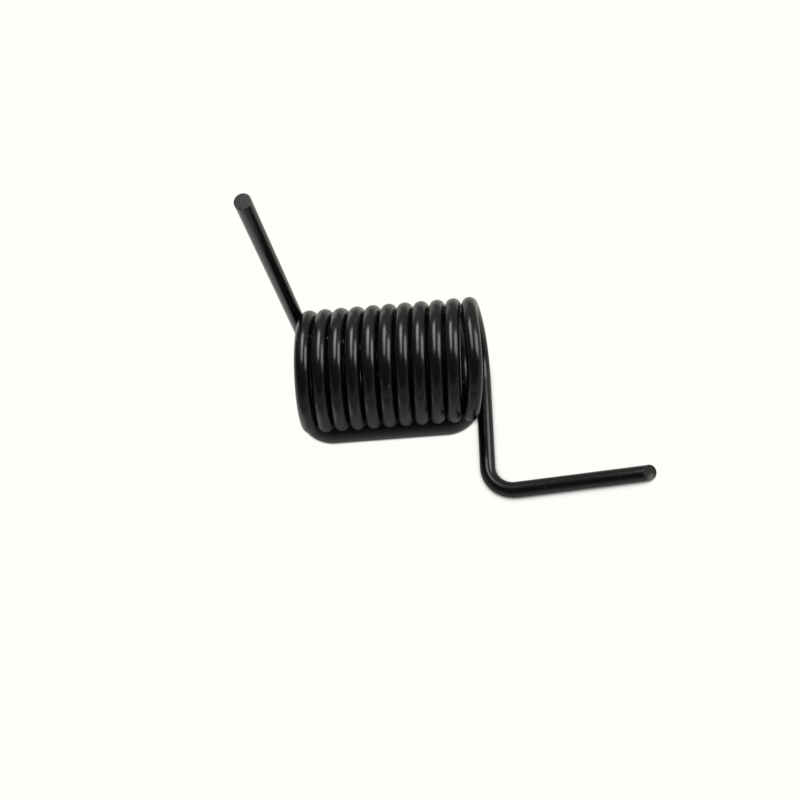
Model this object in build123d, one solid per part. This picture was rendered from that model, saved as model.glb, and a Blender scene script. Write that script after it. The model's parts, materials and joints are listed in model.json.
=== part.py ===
from build123d import *
import math
import os

# Torsion spring, wound and bent cold from one length of round wire. The close-wound, left-hand coil
# sits on an arbor. At its back the wire starts as a straight leg that stands up, tangent to the coil.
# At its other end the wire leaves the coil's underside towards the front, turns a corner and ends
# lying beside the coil: the bent leg.
# The frame is in millimetres. Its origin is on the coil's axis, half-way along the close-wound length.
# +X runs along the axis towards the bent leg, -Y to the front and +Z up. The coil and the bent leg
# lie on the ground under them.

wire_diameter = 2.5

# The coil
inner_diameter = 15.0      # what an arbor has to pass through
full_turns = 11
leg_angle = 90.0           # between the legs, seen along the axis: the part turn beyond the full ones
turn_gap = 0.1             # air between neighbouring turns

# The last turn has no neighbour to hold it. It springs off by this much at its front and again at
# its back, and comes home between the two.
stand_off = 0.7
stand_off_start = 306.0    # degrees before the coil's end

# The legs: straight wire, with one corner in the bent leg. They run to the middle of their cut faces.
straight_leg = 35.0
bent_leg_run = 15.5
corner_radius = 4.0        # of the wire's centre line
corner_angle = 95.0
bent_leg_end = 21.5

# Shears leave each face on a slant, in degrees from square, so that the wire has a short side there
straight_leg_slant = 10.0
straight_leg_short_side = Vector(0, -1, 0)
bent_leg_slant = 38.0
bent_leg_short_side = Vector(0, -1, 1)
shear_waste = wire_diameter     # of wire beyond the middle of each cut face, which the shears take off

coil_radius = (inner_diameter + wire_diameter) / 2     # of the wire's centre line
pitch = wire_diameter + turn_gap
coil_angle = 360 * full_turns + leg_angle
coil_length = pitch * coil_angle / 360
guide_spacing = 18.0       # degrees between the points that guide the last turn


def coil_point(angle):
    """The wire's centre at an angle: 0 at the coil's end underneath, and less than 0 before it."""
    around = math.radians(angle)
    since_start = math.radians(max(angle + stand_off_start, 0))
    x = coil_length / 2 + pitch * angle / 360 + stand_off * math.sin(since_start) ** 2
    return Vector(x, -coil_radius * math.sin(around), -coil_radius * math.cos(around))


def coil_heading(angle):
    """The way the wire runs there, towards the coil's end: the slope of coil_point."""
    around = math.radians(angle)
    since_start = math.radians(max(angle + stand_off_start, 0))
    advance = pitch / (2 * math.pi) + stand_off * math.sin(2 * since_start)
    return Vector(advance, -coil_radius * math.cos(around), coil_radius * math.sin(around)).normalized()


def close_wound_turns():
    """The turns that lie side by side: a true helix, turned so that it begins at the straight leg."""
    height = pitch * (coil_angle - stand_off_start) / 360
    helix = Helix(pitch, height, coil_radius, lefthand=True)
    return Pos(X=-coil_length / 2) * Rot(X=coil_angle) * Rot(Y=90) * helix


def last_turn():
    """The turn that springs off, guided by points and tangent to the wire before and after it."""
    steps = round(stand_off_start / guide_spacing)
    angles = [-stand_off_start * (1 - step / steps) for step in range(steps + 1)]
    points = [coil_point(angle) for angle in angles]
    headings = [coil_heading(angles[0]), coil_heading(angles[-1])]
    return Spline(points, tangents=headings, tangent_scalars=[1, 1])


def wire_centre_line():
    """The whole wire before its ends are sheared, from the straight leg to the bent one."""
    coil_start = coil_point(-coil_angle)
    coil_end = coil_point(0)
    rising = Line(coil_start - coil_heading(-coil_angle) * (straight_leg + shear_waste), coil_start)
    run = Line(coil_end, coil_end + coil_heading(0) * bent_leg_run)
    corner = JernArc(run @ 1, run % 1, corner_radius, corner_angle)
    end = Line(corner @ 1, corner @ 1 + (corner % 1) * (bent_leg_end + shear_waste))
    stretches = [rising, close_wound_turns(), last_turn(), run, corner, end]
    return Wire([stretch.edge() for stretch in stretches])


def sheared(wire, uncut_tip, outward, slant, short_side):
    """The wire without what lies beyond its cut face, which leans back on the short side."""
    facing = outward.rotate(Axis((0, 0, 0), outward.cross(short_side)), slant)
    cut_face = Plane(origin=uncut_tip - outward * shear_waste, z_dir=facing)
    return split(wire, bisect_by=cut_face, keep=Keep.BOTTOM)


centre_line = wire_centre_line()
section = Plane(origin=centre_line @ 0, z_dir=centre_line % 0) * Circle(wire_diameter / 2)
wound_wire = sweep(section, path=centre_line, is_frenet=True)
half_cut_wire = sheared(wound_wire, centre_line @ 0, centre_line % 0 * -1,
                        straight_leg_slant, straight_leg_short_side)
torsion_spring = sheared(half_cut_wire, centre_line @ 1, centre_line % 1,
                         bent_leg_slant, bent_leg_short_side)
torsion_spring.label = "torsion_spring"

os.makedirs("parts", exist_ok=True)
export_step(torsion_spring, "parts/torsion_spring.step")
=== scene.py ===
import json
import math

import bpy
from mathutils import Matrix, Quaternion, Vector


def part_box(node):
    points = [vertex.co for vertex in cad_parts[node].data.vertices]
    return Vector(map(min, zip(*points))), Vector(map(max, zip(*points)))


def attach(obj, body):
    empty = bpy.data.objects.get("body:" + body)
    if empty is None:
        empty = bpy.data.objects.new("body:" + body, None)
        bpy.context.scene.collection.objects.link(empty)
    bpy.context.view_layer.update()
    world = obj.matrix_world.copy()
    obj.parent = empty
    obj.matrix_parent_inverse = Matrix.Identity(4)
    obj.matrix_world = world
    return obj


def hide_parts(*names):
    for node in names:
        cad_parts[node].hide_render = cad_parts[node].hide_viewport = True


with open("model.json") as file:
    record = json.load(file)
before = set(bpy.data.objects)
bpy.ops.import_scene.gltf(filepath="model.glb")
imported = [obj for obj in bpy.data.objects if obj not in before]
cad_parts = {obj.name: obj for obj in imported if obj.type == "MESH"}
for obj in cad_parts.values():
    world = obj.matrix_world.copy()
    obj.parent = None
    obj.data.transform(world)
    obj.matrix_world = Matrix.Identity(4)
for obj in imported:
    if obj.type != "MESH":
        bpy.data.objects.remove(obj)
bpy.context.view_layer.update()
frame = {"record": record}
mounts = {mount["name"]: mount for mount in frame["record"]["mounts"]}


# ---- The wire ---------------------------------------------------------------------------------
# One length of hard-drawn round spring wire. It is wound cold on a mandrel into a close, left-hand
# coil, and its two legs are left tangent to the coil. The bent leg is then turned over a pin.
# Both ends are sheared off, which leaves a rough face with a rolled edge.

MM = 0.001


def add(tree, kind, inputs=(), **settings):
    """Adds a node. inputs gives its sockets, by number or name, their values or their links."""
    node = tree.nodes.new(kind)
    for name, value in settings.items():
        setattr(node, name, value)
    given = inputs.items() if isinstance(inputs, dict) else enumerate(inputs)
    for key, value in given:
        if isinstance(value, bpy.types.Node):
            value = next(socket for socket in value.outputs if socket.enabled)
        if isinstance(value, bpy.types.NodeSocket):
            tree.links.new(value, node.inputs[key])
        else:
            node.inputs[key].default_value = value
    return node


def wound_wire_tree(sizes):
    """The rule that winds the wire: a centre line in four stretches, swept by a round section."""
    tree = bpy.data.node_groups.new("wound wire", "GeometryNodeTree")
    kinds = {float: "NodeSocketFloat", int: "NodeSocketInt", Vector: "NodeSocketVector",
             bpy.types.Material: "NodeSocketMaterial"}
    for name, value in sizes.items():
        tree.interface.new_socket(name, in_out="INPUT", socket_type=kinds[type(value)])
    tree.interface.new_socket("Wire", in_out="OUTPUT", socket_type="NodeSocketGeometry")
    size = add(tree, "NodeGroupInput").outputs
    index = add(tree, "GeometryNodeInputIndex")
    position = add(tree, "GeometryNodeInputPosition")

    # The coil. Its angle runs up to 0, where it ends underneath, and its length is centred on the
    # origin. The last turn stands off by the square of a sine.
    gaps = add(tree, "ShaderNodeMath", [size["Coil Points"], 1], operation="SUBTRACT")
    step = add(tree, "ShaderNodeMath", [size["Coil Angle"], gaps], operation="DIVIDE")
    turned = add(tree, "ShaderNodeMath", [index, step], operation="MULTIPLY")
    angle = add(tree, "ShaderNodeMath", [turned, size["Coil Angle"]], operation="SUBTRACT")
    into = add(tree, "ShaderNodeMath", [angle, size["Stand Off Start"]], operation="ADD")
    since = add(tree, "ShaderNodeMath", [into, 0], operation="MAXIMUM")
    wave = add(tree, "ShaderNodeMath", [since], operation="SINE")
    wave_squared = add(tree, "ShaderNodeMath", [wave, wave], operation="MULTIPLY")
    stands_off = add(tree, "ShaderNodeMath", [wave_squared, size["Stand Off"]],
                     operation="MULTIPLY")
    wound = add(tree, "ShaderNodeMath", [angle, size["Coil Angle"]], operation="DIVIDE")
    centred = add(tree, "ShaderNodeMath", [wound, 0.5], operation="ADD")
    advance = add(tree, "ShaderNodeMath", [centred, size["Coil Length"], stands_off],
                  operation="MULTIPLY_ADD")
    sine = add(tree, "ShaderNodeMath", [angle], operation="SINE")
    cosine = add(tree, "ShaderNodeMath", [angle], operation="COSINE")
    inward = add(tree, "ShaderNodeMath", [size["Coil Radius"], -1], operation="MULTIPLY")
    across = add(tree, "ShaderNodeMath", [sine, inward], operation="MULTIPLY")
    upward = add(tree, "ShaderNodeMath", [cosine, inward], operation="MULTIPLY")
    on_coil = add(tree, "ShaderNodeCombineXYZ", [advance, across, upward])
    coil_line = add(tree, "GeometryNodeMeshLine", {"Count": size["Coil Points"]})
    coil = add(tree, "GeometryNodeSetPosition", {"Geometry": coil_line, "Position": on_coil})
    coil_start, coil_end = (
        add(tree, "GeometryNodeSampleIndex", {"Geometry": coil, "Value": position, "Index": place},
            data_type="FLOAT_VECTOR")
        for place in (0, gaps))

    # The legs, each ending a little before the rolled edge of its cut begins
    legs = ("Straight Leg", "Bent Leg")
    edge = add(tree, "ShaderNodeMath", [size["Edge Roll"], -1], operation="MULTIPLY")
    before_edge = add(tree, "ShaderNodeMath", [edge, size["Edge Margin"]], operation="SUBTRACT")
    leg_ends = {}
    for leg in legs:
        back = add(tree, "ShaderNodeVectorMath", {
            0: size[leg + " Outward"], "Scale": before_edge}, operation="SCALE")
        leg_ends[leg] = add(tree, "ShaderNodeVectorMath", [size[leg + " Tip"], back])
    straight_leg = add(tree, "GeometryNodeMeshLine", {
        "Count": size["Straight Leg Points"], "Start Location": coil_start,
        "Offset": leg_ends["Straight Leg"]}, mode="END_POINTS")
    bent_places = add(tree, "GeometryNodeIndexSwitch", {
        0: index, 1: coil_end, 2: size["Bent Leg Corner"]}, data_type="VECTOR")
    bent_places.index_switch_items.new()
    tree.links.new(leg_ends["Bent Leg"].outputs[0], bent_places.inputs[3])
    bent_points = add(tree, "GeometryNodeMeshLine", {"Count": 3})
    bent_line = add(tree, "GeometryNodeSetPosition", {
        "Geometry": bent_points, "Position": bent_places})
    bent_curve = add(tree, "GeometryNodeMeshToCurve", [bent_line])
    bent_filleted = add(tree, "GeometryNodeFilletCurve", {
        "Curve": bent_curve, "Radius": size["Corner Radius"], "Count": size["Corner Points"]},
        mode="POLY")
    bent_evenly = add(tree, "GeometryNodeResampleCurve", {
        "Curve": bent_filleted, "Count": size["Bent Leg Points"]}, mode="COUNT")
    bent_leg = add(tree, "GeometryNodeCurveToMesh", {"Curve": bent_evenly})
    full_section = add(tree, "GeometryNodeJoinGeometry")
    for stretch in (coil, straight_leg, bent_leg):
        tree.links.new(stretch.outputs[0], full_section.inputs[0])
    full_width = add(tree, "GeometryNodeStoreNamedAttribute", {
        "Geometry": full_section, "Name": "width", "Value": 1.0})

    # The cut ends: rings that close in over the rolled edge to the middle of the face. The last one
    # is on the leg, close behind the edge, which keeps the shine of the leg off the edge.
    edge_ring = add(tree, "ShaderNodeMath", [size["End Rings"], 2], operation="SUBTRACT")
    ring_share = add(tree, "ShaderNodeMath", [index, edge_ring], operation="DIVIDE")
    on_leg = add(tree, "ShaderNodeMath", [index, edge_ring], operation="GREATER_THAN")
    over_face = add(tree, "ShaderNodeMath", [ring_share, 1], operation="MINIMUM")
    quarter = add(tree, "ShaderNodeMath", [over_face, math.pi / 2], operation="MULTIPLY")
    width = add(tree, "ShaderNodeMath", [quarter], operation="SINE")
    rolled = add(tree, "ShaderNodeMath", [width, size["Edge Tightness"]], operation="POWER")
    crowned = add(tree, "ShaderNodeMix", {"Factor": size["Face Crown"], "A": rolled, "B": width})
    edge_back = add(tree, "ShaderNodeMath", [crowned, edge], operation="MULTIPLY")
    leg_back = add(tree, "ShaderNodeMath", [on_leg, size["Edge Margin"]], operation="MULTIPLY")
    set_back = add(tree, "ShaderNodeMath", [edge_back, leg_back], operation="SUBTRACT")
    whole = add(tree, "GeometryNodeJoinGeometry", [full_width])
    for leg in legs:
        rings = add(tree, "GeometryNodeMeshLine", {"Count": size["End Rings"]})
        back = add(tree, "ShaderNodeVectorMath", {
            0: size[leg + " Outward"], "Scale": set_back}, operation="SCALE")
        place = add(tree, "ShaderNodeVectorMath", [size[leg + " Tip"], back])
        placed = add(tree, "GeometryNodeSetPosition", {"Geometry": rings, "Position": place})
        narrowed = add(tree, "GeometryNodeStoreNamedAttribute", {
            "Geometry": placed, "Name": "width", "Value": width})
        tree.links.new(narrowed.outputs[0], whole.inputs[0])
    merged = add(tree, "GeometryNodeMergeByDistance", {
        "Geometry": whole, "Distance": size["Line Join"]})
    centre_line = add(tree, "GeometryNodeMeshToCurve", [merged])

    # The sweep. It keeps, for each point, the centre it belongs to and its place on the wire as if
    # the wire were straight: across it in x and y, and along it in z.
    along = add(tree, "GeometryNodeSplineParameter").outputs["Length"]
    kept_line = add(tree, "GeometryNodeStoreNamedAttribute", {
        "Geometry": centre_line, "Name": "centre", "Value": position}, data_type="FLOAT_VECTOR")
    measured = add(tree, "GeometryNodeStoreNamedAttribute", {
        "Geometry": kept_line, "Name": "along", "Value": along})
    radius = add(tree, "ShaderNodeMath", [size["Wire Diameter"], 2], operation="DIVIDE")
    circle = add(tree, "GeometryNodeCurvePrimitiveCircle", {
        "Resolution": size["Sides"], "Radius": radius})
    section = add(tree, "GeometryNodeStoreNamedAttribute", {
        "Geometry": circle, "Name": "across", "Value": position}, data_type="FLOAT_VECTOR")
    kept_width = add(tree, "GeometryNodeInputNamedAttribute", {"Name": "width"})
    swept = add(tree, "GeometryNodeCurveToMesh", {
        "Curve": measured, "Profile Curve": section, "Scale": kept_width})
    closed = add(tree, "GeometryNodeMergeByDistance", {
        "Geometry": swept, "Distance": size["Skin Join"]})

    # Each cut leans back from square, so the wire is shorter on one side. The slide dies out along
    # the leg. The torn metal of the face stands up and down by a few hundredths of a millimetre,
    # and it has a pit where the last of it broke away.
    centre = add(tree, "GeometryNodeInputNamedAttribute", {"Name": "centre"},
                 data_type="FLOAT_VECTOR")
    from_centre = add(tree, "ShaderNodeVectorMath", [position, centre], operation="SUBTRACT")
    grain = add(tree, "ShaderNodeTexNoise", {
        "Vector": position, "Scale": size["Tear Scale"], "Detail": size["Tear Detail"],
        "Roughness": size["Tear Roughness"]})
    swing = add(tree, "ShaderNodeMath", [grain, 0.5], operation="SUBTRACT")
    off_face = add(tree, "ShaderNodeMath", [kept_width, size["Face Limit"]], operation="POWER")
    on_face = add(tree, "ShaderNodeMath", [1, off_face], operation="SUBTRACT")
    tear = add(tree, "ShaderNodeMath", [swing, size["Tear Depth"]], operation="MULTIPLY")
    torn = add(tree, "ShaderNodeMath", [tear, on_face], operation="MULTIPLY")
    pit_depth = add(tree, "ShaderNodeMath", [size["Pit Depth"], -1], operation="MULTIPLY")
    shaped = closed
    marks = []
    pit_painted_shade_masks = []
    for leg in legs:
        tip = size[leg + " Tip"]
        reach = add(tree, "ShaderNodeVectorMath", [centre, tip], operation="DISTANCE")
        near = add(tree, "ShaderNodeMapRange", {
            "Value": reach.outputs["Value"], "From Min": 0.0, "From Max": size["Slide Reach"],
            "To Min": 1.0, "To Max": 0.0})
        leaning = add(tree, "ShaderNodeVectorMath", [from_centre, size[leg + " Lean"]],
                      operation="DOT_PRODUCT")
        pit_centre = add(tree, "ShaderNodeVectorMath", [tip, size[leg + " Pit"]])
        to_pit = add(tree, "ShaderNodeVectorMath", [position, pit_centre], operation="DISTANCE")
        pitted = add(tree, "ShaderNodeMapRange", {
            "Value": to_pit.outputs["Value"], "From Min": 0.0, "From Max": size["Pit Radius"],
            "To Min": pit_depth, "To Max": torn}, interpolation_type="SMOOTHSTEP")
        # A mask for each pit, along which the finish paints shade into the hollow
        pit_painted_shade_masks.append(add(tree, "ShaderNodeMapRange", {
            "Value": to_pit.outputs["Value"], "From Min": 0.0, "From Max": size["Pit Radius"],
            "To Min": size["Pit Painted Shade"], "To Max": 0.0}, interpolation_type="SMOOTHSTEP"))
        slide = add(tree, "ShaderNodeMath", [pitted, leaning.outputs["Value"]],
                    operation="SUBTRACT")
        fading = add(tree, "ShaderNodeMath", [slide, near], operation="MULTIPLY")
        offset = add(tree, "ShaderNodeVectorMath", {
            0: size[leg + " Outward"], "Scale": fading}, operation="SCALE")
        shaped = add(tree, "GeometryNodeSetPosition", {"Geometry": shaped, "Offset": offset})
        blade = add(tree, "ShaderNodeVectorMath", [tip, size[leg + " Blade"]])
        to_blade = add(tree, "ShaderNodeVectorMath", [position, blade], operation="DISTANCE")
        marks.append(add(tree, "ShaderNodeMapRange", {
            "Value": to_blade.outputs["Value"], "From Min": 0.0, "From Max": size["Blade Mark"],
            "To Min": 1.0, "To Max": 0.0}, interpolation_type="SMOOTHSTEP"))
    blade_marks = add(tree, "ShaderNodeMath", marks, operation="MAXIMUM")
    both_pits_painted_shade = add(tree, "ShaderNodeMath", pit_painted_shade_masks, operation="MAXIMUM")

    # What the finish reads: the place on the straightened wire, where the cut faces are and where
    # their pits get painted shade, and where the blade rubbed
    across_now = add(tree, "GeometryNodeInputNamedAttribute", {"Name": "across"},
                     data_type="FLOAT_VECTOR")
    narrowed_across = add(tree, "ShaderNodeVectorMath", {
        0: across_now, "Scale": kept_width}, operation="SCALE")
    along_now = add(tree, "GeometryNodeInputNamedAttribute", {"Name": "along"})
    lengthwise = add(tree, "ShaderNodeCombineXYZ", {"Z": along_now})
    straightened = add(tree, "ShaderNodeVectorMath", [narrowed_across, lengthwise])
    marked = add(tree, "GeometryNodeStoreNamedAttribute", {
        "Geometry": shaped, "Name": "straightened", "Value": straightened},
        data_type="FLOAT_VECTOR")
    for name, value in (("cut_face", on_face), ("blade_mark", blade_marks), ("pit_painted_shade", both_pits_painted_shade)):
        marked = add(tree, "GeometryNodeStoreNamedAttribute", {
            "Geometry": marked, "Name": name, "Value": value})
    smooth = add(tree, "GeometryNodeSetShadeSmooth", [marked])
    real = add(tree, "GeometryNodeRealizeInstances", [smooth])
    finished = add(tree, "GeometryNodeSetMaterial", {"Geometry": real, "Material": size["Finish"]})
    add(tree, "NodeGroupOutput", [finished])
    return tree


def linear(hex_colour):
    """An sRGB hex colour as the linear colour that shaders take."""
    channels = [int(hex_colour[start:start + 2], 16) / 255 for start in (1, 3, 5)]
    return [c / 12.92 if c <= 0.04045 else ((c + 0.055) / 1.055) ** 2.4 for c in channels] + [1.0]


def black_oxide_finish():
    """Black oxide on drawn spring wire, oiled. The wire comes from the die bright, with fine lines
    along it, and a hot salt bath turns its skin into a thin, tight, black iron oxide. Under its oil
    the oxide is near black and mirrors like varnish. It is browner here and bluer there, the die's
    lines break up its gloss, and steel shows where something hard has rubbed it."""
    material = bpy.data.materials.new("black oxide on drawn spring wire, oiled")
    material.use_nodes = True
    tree = material.node_tree
    surface = tree.nodes["Principled BSDF"]
    surface.inputs["IOR"].default_value = 1.5

    # Lines from the die are 0.02 to 0.05 mm wide. They are drawn 0.3 mm wide, so that they show.
    die_line_width = 0.3 * MM
    die_line_stretch = 0.012
    straightened = add(tree, "ShaderNodeAttribute", attribute_name="straightened")
    drawn_out = add(tree, "ShaderNodeMapping", {
        "Vector": straightened.outputs["Vector"], "Scale": (1.0, 1.0, die_line_stretch)})
    die_lines = add(tree, "ShaderNodeTexNoise", {
        "Vector": drawn_out, "Scale": 1 / die_line_width, "Detail": 2.0, "Roughness": 0.6})
    # Clouds in the oxide 0.8 mm across, and its own grain, 0.02 mm, drawn at 0.1 mm
    cloud_width = 0.8 * MM
    grain_width = 0.1 * MM
    dark_grain, light_grain = 0.35, 0.6
    clouds = add(tree, "ShaderNodeTexNoise", {
        "Vector": straightened.outputs["Vector"], "Scale": 1 / cloud_width,
        "Detail": 4.0, "Roughness": 0.6})
    grain = add(tree, "ShaderNodeTexNoise", {
        "Vector": straightened.outputs["Vector"], "Scale": 1 / grain_width,
        "Detail": 2.0, "Roughness": 0.7})
    speckle = add(tree, "ShaderNodeMapRange", {
        "Value": grain, "From Min": dark_grain, "From Max": light_grain})
    # Rubbed spots, 0.4 mm wide and three times as long, and the smear that the blade left at each
    # cut. Few of the spots reach the level where steel starts to show.
    rub_width = 0.4 * MM
    rub_stretch = 0.33
    rub_shift = 10.5 * MM
    rub_shows, rub_fullest, most_steel = 0.71, 0.76, 0.7
    rubbed_out = add(tree, "ShaderNodeMapping", {
        "Vector": straightened.outputs["Vector"], "Location": (0.0, 0.0, rub_shift),
        "Scale": (1.0, 1.0, rub_stretch)})
    rubs = add(tree, "ShaderNodeTexNoise", {
        "Vector": rubbed_out, "Scale": 1 / rub_width, "Detail": 3.0, "Roughness": 0.55})
    spots = add(tree, "ShaderNodeMapRange", {
        "Value": rubs, "From Min": rub_shows, "From Max": rub_fullest,
        "To Min": 0.0, "To Max": most_steel})
    blade_mark = add(tree, "ShaderNodeAttribute", attribute_name="blade_mark")
    smear = add(tree, "ShaderNodeMath", [speckle, blade_mark.outputs["Fac"]], operation="MULTIPLY")
    bare = add(tree, "ShaderNodeMath", [spots, smear], operation="MAXIMUM")

    brown_oxide, blue_oxide = linear("#0b0a08"), linear("#07090b")
    brown_cloud, blue_cloud = 0.35, 0.65
    dark_tear, light_tear, painted_pit_shade_colour = linear("#0f0f0e"), linear("#282724"), linear("#030303")
    bare_steel = linear("#bdbab1")
    cut_face = add(tree, "ShaderNodeAttribute", attribute_name="cut_face")
    tone = add(tree, "ShaderNodeMapRange", {
        "Value": clouds, "From Min": brown_cloud, "From Max": blue_cloud})
    oxide = add(tree, "ShaderNodeMix", {
        "Factor": tone, "A": brown_oxide, "B": blue_oxide}, data_type="RGBA")
    torn = add(tree, "ShaderNodeMix", {
        "Factor": speckle, "A": dark_tear, "B": light_tear}, data_type="RGBA")
    # Painted shade: the pit is coloured near black, as a hollow in shadow, over a dent too shallow
    # to shade itself
    pit_painted_shade = add(tree, "ShaderNodeAttribute", attribute_name="pit_painted_shade")
    pitted = add(tree, "ShaderNodeMix", {
        "Factor": pit_painted_shade.outputs["Fac"], "A": torn, "B": painted_pit_shade_colour}, data_type="RGBA")
    with_cuts = add(tree, "ShaderNodeMix", {
        "Factor": cut_face.outputs["Fac"], "A": oxide, "B": pitted}, data_type="RGBA")
    with_steel = add(tree, "ShaderNodeMix", {
        "Factor": bare, "A": with_cuts, "B": bare_steel}, data_type="RGBA")
    tree.links.new(with_steel.outputs["Result"], surface.inputs["Base Color"])
    tree.links.new(bare.outputs[0], surface.inputs["Metallic"])

    oiled_roughness = 0.10
    roughness_of_clouds = 0.16
    roughness_of_lines = 0.10
    torn_roughness = 0.7
    clouded = add(tree, "ShaderNodeMath", [clouds, roughness_of_clouds, oiled_roughness],
                  operation="MULTIPLY_ADD")
    lined = add(tree, "ShaderNodeMath", [die_lines, roughness_of_lines, clouded],
                operation="MULTIPLY_ADD")
    matted = add(tree, "ShaderNodeMix", {
        "Factor": cut_face.outputs["Fac"], "A": lined, "B": torn_roughness})
    tree.links.new(matted.outputs["Result"], surface.inputs["Roughness"])

    # Heights, in millimetres
    die_line_height = 0.008
    cloud_height = 0.004
    torn_height = 0.03
    line_height = add(tree, "ShaderNodeMath", [die_lines, die_line_height], operation="MULTIPLY")
    skin_height = add(tree, "ShaderNodeMath", [clouds, cloud_height, line_height],
                      operation="MULTIPLY_ADD")
    cut_depth = add(tree, "ShaderNodeMath", [cut_face.outputs["Fac"], torn_height],
                    operation="MULTIPLY")
    height = add(tree, "ShaderNodeMath", [grain, cut_depth, skin_height], operation="MULTIPLY_ADD")
    relief = add(tree, "ShaderNodeBump", {"Height": height, "Strength": 1.0, "Distance": MM})
    tree.links.new(relief.outputs[0], surface.inputs["Normal"])
    return material


def lean(outward, short_side, slant):
    """How far a cut face falls back for each metre across the wire, towards its short side."""
    across = short_side - outward * short_side.dot(outward)
    return across.normalized() * math.tan(slant)


wire_diameter = 2 * mounts["bent_leg_end"]["dims"]["r_mm"] * MM
coil_radius = mounts["arbor"]["dims"]["r_mm"] * MM + wire_diameter / 2
straight_leg_tip = Vector(mounts["straight_leg"]["pos_m"])
straight_leg_outward = Vector(mounts["straight_leg"]["axis"]).normalized()
straight_leg_length = mounts["straight_leg"]["dims"]["length_mm"] * MM
straight_leg_slant = math.radians(10)
straight_leg_short_side = Vector((0, -1, 0))
bent_leg_middle = Vector(mounts["bent_leg_end"]["pos_m"])
bent_leg_outward = Vector(mounts["bent_leg_end"]["axis"]).normalized()
# The mount's length runs to the long side of the solid's cut. The cut that is seen leans about the
# same middle, and a little further.
bent_leg_length = mounts["bent_leg_end"]["dims"]["length_mm"] * MM
bent_leg_solid_slant = math.radians(38)
bent_leg_long_side = wire_diameter / 2 * math.tan(bent_leg_solid_slant)
bent_leg_slant = math.radians(46)
bent_leg_short_side = Vector((0, -0.4, 1))
coil_length = -2 * (straight_leg_tip - straight_leg_outward * straight_leg_length).x
turns = 11.25
stand_off = 0.7 * MM
stand_off_start = math.radians(306)
corner_radius = 4.0 * MM
corner_angle = math.radians(95)
corner_reach = corner_radius * math.tan(corner_angle / 2)

wire_sizes = {
    "Wire Diameter": wire_diameter,
    "Coil Radius": coil_radius,
    "Coil Length": coil_length,
    "Coil Angle": turns * math.tau,
    "Stand Off": stand_off,
    "Stand Off Start": stand_off_start,
    "Straight Leg Tip": straight_leg_tip,
    "Straight Leg Outward": straight_leg_outward,
    "Straight Leg Lean": lean(straight_leg_outward, straight_leg_short_side, straight_leg_slant),
    "Straight Leg Pit": Vector((0.1, -1.15, 0.0)) * MM,
    "Straight Leg Blade": Vector((2.4, 0.9, 0.0)) * MM,
    "Bent Leg Corner": bent_leg_middle - bent_leg_outward * (bent_leg_length / 2 + corner_reach),
    "Bent Leg Tip": bent_leg_middle + bent_leg_outward * (
        bent_leg_length / 2 - bent_leg_long_side),
    "Bent Leg Outward": bent_leg_outward,
    "Bent Leg Lean": lean(bent_leg_outward, bent_leg_short_side, bent_leg_slant),
    "Bent Leg Pit": Vector((-0.04, 0.71, -0.17)) * MM,
    "Bent Leg Blade": Vector((0.25, -1.25, -0.7)) * MM,
    "Corner Radius": corner_radius,
    "Edge Roll": 0.08 * MM,
    "Edge Margin": 0.04 * MM,
    "Edge Tightness": 24.0,        # a power of the width, which keeps the roll near the edge
    "Face Crown": 0.15,            # the share of the roll that is spread over the face
    "Face Limit": 40.0,            # a power of the width, which ends the torn face at the edge
    "Slide Reach": 8.0 * MM,
    "Tear Scale": 2500.0,
    "Tear Detail": 3.0,
    "Tear Roughness": 0.6,
    "Tear Depth": 0.08 * MM,
    "Pit Radius": 0.35 * MM,
    "Pit Depth": 0.03 * MM,
    "Pit Painted Shade": 2.0,               # above 1, so that the middle of the pit's painted shade is fully dark
    "Blade Mark": 1.7 * MM,
    "Line Join": 0.0001 * MM,      # points of the line, and then of the skin, that are as
    "Skin Join": 0.001 * MM,       # near as this are one
    "Coil Points": 1013,
    "Straight Leg Points": 71,
    "Bent Leg Points": 121,
    "Corner Points": 40,
    "End Rings": 25,
    "Sides": 48,
    "Finish": black_oxide_finish(),
}
source = bpy.data.objects.new("wire being wound", bpy.data.meshes.new("wire being wound"))
bpy.context.scene.collection.objects.link(source)
winding = source.modifiers.new("winding", "NODES")
winding.node_group = wound_wire_tree(wire_sizes)
for item in winding.node_group.interface.items_tree:
    if item.in_out == "INPUT":
        winding[item.identifier] = wire_sizes[item.name]
wound = source.evaluated_get(bpy.context.evaluated_depsgraph_get())
spring_wire = bpy.data.objects.new("spring_wire", bpy.data.meshes.new_from_object(wound))
bpy.context.scene.collection.objects.link(spring_wire)
bpy.data.objects.remove(source)
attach(spring_wire, "root")
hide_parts("torsion_spring")


# ---- The ground -------------------------------------------------------------------------------
# A sheet of plain white paper, matt and lit from above. The camera sees it as clean white, with
# painted shade under the coil and beside the wire. The wire mirrors it half bright, and a painted
# light makes it white to the wire on the far left.

ground_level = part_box("torsion_spring")[0].z
half_side = 2.0
corners = [(x * half_side, y * half_side, ground_level)
           for x, y in ((-1, -1), (1, -1), (1, 1), (-1, 1))]
ground_mesh = bpy.data.meshes.new("ground")
ground_mesh.from_pydata(corners, [], [(0, 1, 2, 3)])
ground = bpy.data.objects.new("ground", ground_mesh)
bpy.context.scene.collection.objects.link(ground)
paper = bpy.data.materials.new("white paper, matt")
paper.use_nodes = True
tree = paper.node_tree
tree.nodes.clear()
lit = add(tree, "ShaderNodeBsdfDiffuse", {"Color": linear("#d8d8d1")})
place = add(tree, "ShaderNodeSeparateXYZ", [add(tree, "ShaderNodeTexCoord").outputs["Object"]])

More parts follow.
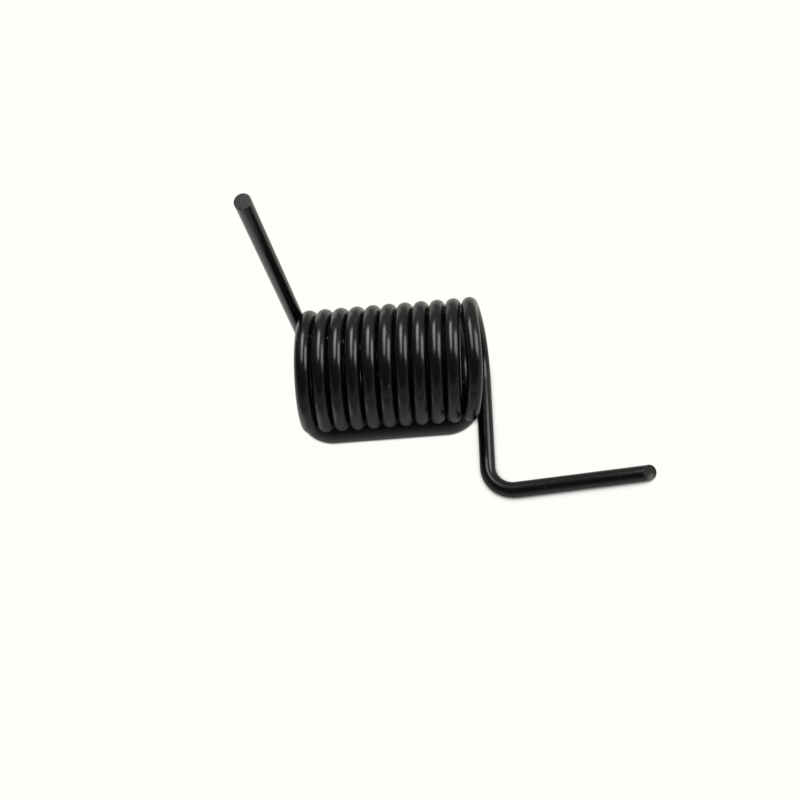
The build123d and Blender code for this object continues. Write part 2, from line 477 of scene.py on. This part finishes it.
# The shadow under the coil: a core, its middle and half its length each way in millimetres, that
# is grown by a round edge. It is black inside and hardly lighter where it ends, which is sharp in
# front and soft behind.
core = {"X": (-0.95, 9.35), "Y": (0.95, 3.55)}
shadow_edge = 6.0 * MM
shadow_curve = 7.0
shadow_rim_level = 0.08
begins_inside = 0.2 * MM
ends_outside_in_front, ends_outside_behind = 0.3 * MM, 3.2 * MM
softens_from, softest_from = 6 * MM, 11 * MM
beyond_core = {}
for side, (middle, half_length) in core.items():
    off = add(tree, "ShaderNodeMath", [place.outputs[side], middle * MM], operation="SUBTRACT")
    off_middle = add(tree, "ShaderNodeMath", [off], operation="ABSOLUTE")
    off_side = add(tree, "ShaderNodeMath", [off_middle, half_length * MM], operation="SUBTRACT")
    beyond_core[side] = add(tree, "ShaderNodeMath", [off_side, 0.0], operation="MAXIMUM")
from_core = add(tree, "ShaderNodeVectorMath", [add(tree, "ShaderNodeCombineXYZ", beyond_core)],
                operation="LENGTH")
share_out = add(tree, "ShaderNodeMath", [from_core.outputs["Value"], shadow_edge],
                operation="DIVIDE", use_clamp=True)
fading_out = add(tree, "ShaderNodeMath", [share_out, shadow_curve], operation="POWER")
in_shadow = add(tree, "ShaderNodeMath", [fading_out, shadow_rim_level], operation="MULTIPLY")
shadow_end = add(tree, "ShaderNodeMapRange", {
    "Value": place.outputs["Y"], "From Min": softens_from, "From Max": softest_from,
    "To Min": shadow_edge + ends_outside_in_front, "To Max": shadow_edge + ends_outside_behind})
out_of_shadow = add(tree, "ShaderNodeMapRange", {
    "Value": from_core.outputs["Value"], "From Min": shadow_edge - begins_inside,
    "From Max": shadow_end}, interpolation_type="SMOOTHSTEP")
under_coil = add(tree, "ShaderNodeMath", [in_shadow, out_of_shadow], operation="MAXIMUM")

# The shade where anything stands close over the ground
shade_reach = 2.5 * MM
darkest_open, lightest_open, darkest_level = 0.3, 0.7, 0.02
open_sky = add(tree, "ShaderNodeAmbientOcclusion", {"Distance": shade_reach}, samples=16)
shade = add(tree, "ShaderNodeMapRange", {
    "Value": open_sky.outputs["AO"], "From Min": darkest_open, "From Max": lightest_open,
    "To Min": darkest_level, "To Max": 1.0}, interpolation_type="SMOOTHSTEP")
lightness = add(tree, "ShaderNodeMath", [shade, under_coil], operation="MULTIPLY")
clean_white = add(tree, "ShaderNodeEmission", {"Color": linear("#fffffc"), "Strength": lightness})
lit_share = 0.02
seen = add(tree, "ShaderNodeMixShader", {0: lit_share, 1: clean_white, 2: lit})

# What the wire mirrors: the paper as it is lit, and painted light: clean white glowing on the far
# left but not in front, seen only in the wire's reflections
left_from, left_full = -13 * MM, -24 * MM
front_from, front_passed = -42 * MM, -28 * MM
least_white, most_white = 0.08, 0.95
far_left = add(tree, "ShaderNodeMapRange", {
    "Value": place.outputs["X"], "From Min": left_from, "From Max": left_full,
    "To Min": least_white, "To Max": most_white}, interpolation_type="SMOOTHSTEP")
not_in_front = add(tree, "ShaderNodeMapRange", {
    "Value": place.outputs["Y"], "From Min": front_from, "From Max": front_passed,
    "To Min": least_white, "To Max": 1.0}, interpolation_type="SMOOTHSTEP")
painted_mirror_light = add(tree, "ShaderNodeMath", [far_left, not_in_front], operation="MINIMUM")
mirrored = add(tree, "ShaderNodeMixShader", {0: painted_mirror_light, 1: lit, 2: clean_white})
ray = add(tree, "ShaderNodeLightPath")
unseen = add(tree, "ShaderNodeMixShader", {0: ray.outputs["Is Glossy Ray"], 1: lit, 2: mirrored})
shown = add(tree, "ShaderNodeMixShader", {0: ray.outputs["Is Camera Ray"], 1: unseen, 2: seen})
add(tree, "ShaderNodeOutputMaterial", {"Surface": shown})
ground_mesh.materials.append(paper)


# ---- The light --------------------------------------------------------------------------------
# Two small soft lamps close to the spring, one overhead and one on the right, in a room that is
# brighter at the back than where the camera stands. The overhead one is strongest at its far end.

def soft_lamp(name, place, along, width, length, radiance):
    """A rectangular lamp that faces the spring from a place, its length set along a direction. The
    place and both sides are in millimetres."""
    lamp = bpy.data.lights.new(name, "AREA")
    lamp.shape = "RECTANGLE"
    lamp.size = width * MM
    lamp.size_y = length * MM
    lamp.energy = radiance * math.pi * lamp.size * lamp.size_y
    holder = bpy.data.objects.new(name, lamp)
    back = Vector(place).normalized()
    side = Vector(along).cross(back).normalized()
    holder.matrix_world = Matrix((side, back.cross(side), back)).transposed().to_4x4()
    holder.location = Vector(place) * MM
    holder.visible_camera = False
    bpy.context.scene.collection.objects.link(holder)


soft_lamp("lamp overhead, far end", place=(-3.4, 30.9, 58.3), along=(0, 1, 0),
          width=27, length=36, radiance=6.2)
soft_lamp("lamp overhead, near end", place=(-3.4, 2.9, 67.7), along=(0, 1, 0),
          width=27, length=23, radiance=4.4)
soft_lamp("lamp right", place=(75.0, 8.6, 57.8), along=(0, 1, 0),
          width=52, length=55, radiance=4.2)

# The room: in front it is lighter low down, and at the back it is lighter away from the left.
# Places in it are parts of a direction, from -1 to 1.
low, high = 0.05, 0.4
low_level, high_level = 0.46, 0.08
left, right = -0.85, -0.5
left_level, right_level = 0.12, 0.36
in_front, behind = -0.35, 0.5
world = bpy.data.worlds.new("room")
world.use_nodes = True
tree = world.node_tree
tree.nodes.clear()
towards = add(tree, "ShaderNodeSeparateXYZ", [
    add(tree, "ShaderNodeTexCoord").outputs["Generated"]])
front = add(tree, "ShaderNodeMapRange", {
    "Value": towards.outputs["Z"], "From Min": low, "From Max": high,
    "To Min": low_level, "To Max": high_level}, interpolation_type="SMOOTHSTEP")
back = add(tree, "ShaderNodeMapRange", {
    "Value": towards.outputs["X"], "From Min": left, "From Max": right,
    "To Min": left_level, "To Max": right_level}, interpolation_type="SMOOTHSTEP")
to_back = add(tree, "ShaderNodeMapRange", {
    "Value": towards.outputs["Y"], "From Min": in_front, "From Max": behind},
    interpolation_type="SMOOTHSTEP")
room = add(tree, "ShaderNodeMix", {"Factor": to_back, "A": front, "B": back})

# The camera itself sees a clean white behind the ground
ray = add(tree, "ShaderNodeLightPath")
level = add(tree, "ShaderNodeMix", {"Factor": ray.outputs["Is Camera Ray"], "A": room, "B": 1.0})
tint = add(tree, "ShaderNodeMix", {
    "Factor": ray.outputs["Is Camera Ray"], "A": linear("#fdfff6"), "B": linear("#fffffc")},
    data_type="RGBA")
background = add(tree, "ShaderNodeBackground", {"Strength": level})
tree.links.new(tint.outputs["Result"], background.inputs["Color"])
add(tree, "ShaderNodeOutputWorld", {"Surface": background})
bpy.context.scene.world = world


# ---- The camera -------------------------------------------------------------------------------
# It stands close, high over the front of the spring and a little to its right, and it is turned
# about its own line of sight. The picture is square.

azimuth = math.radians(8.99)
elevation = math.radians(63.47)
roll = math.radians(-12.56)
distance = 0.18177
aim = Vector((0.00079, -0.00156, -0.00969))
level_out = math.cos(elevation)
direction = Vector((math.sin(azimuth) * level_out, -math.cos(azimuth) * level_out,
                    math.sin(elevation)))
camera_data = bpy.data.cameras.new("camera")
camera_data.lens = 48.21
camera_data.sensor_width = 36.0
camera_data.clip_start = 0.01
camera = bpy.data.objects.new("camera", camera_data)
camera.location = aim + direction * distance
camera.rotation_mode = "QUATERNION"
camera.rotation_quaternion = (-direction).to_track_quat("-Z", "Y") @ Quaternion((0, 0, 1), roll)
bpy.context.scene.collection.objects.link(camera)
bpy.context.scene.camera = camera
bpy.context.scene.view_settings.view_transform = "Standard"
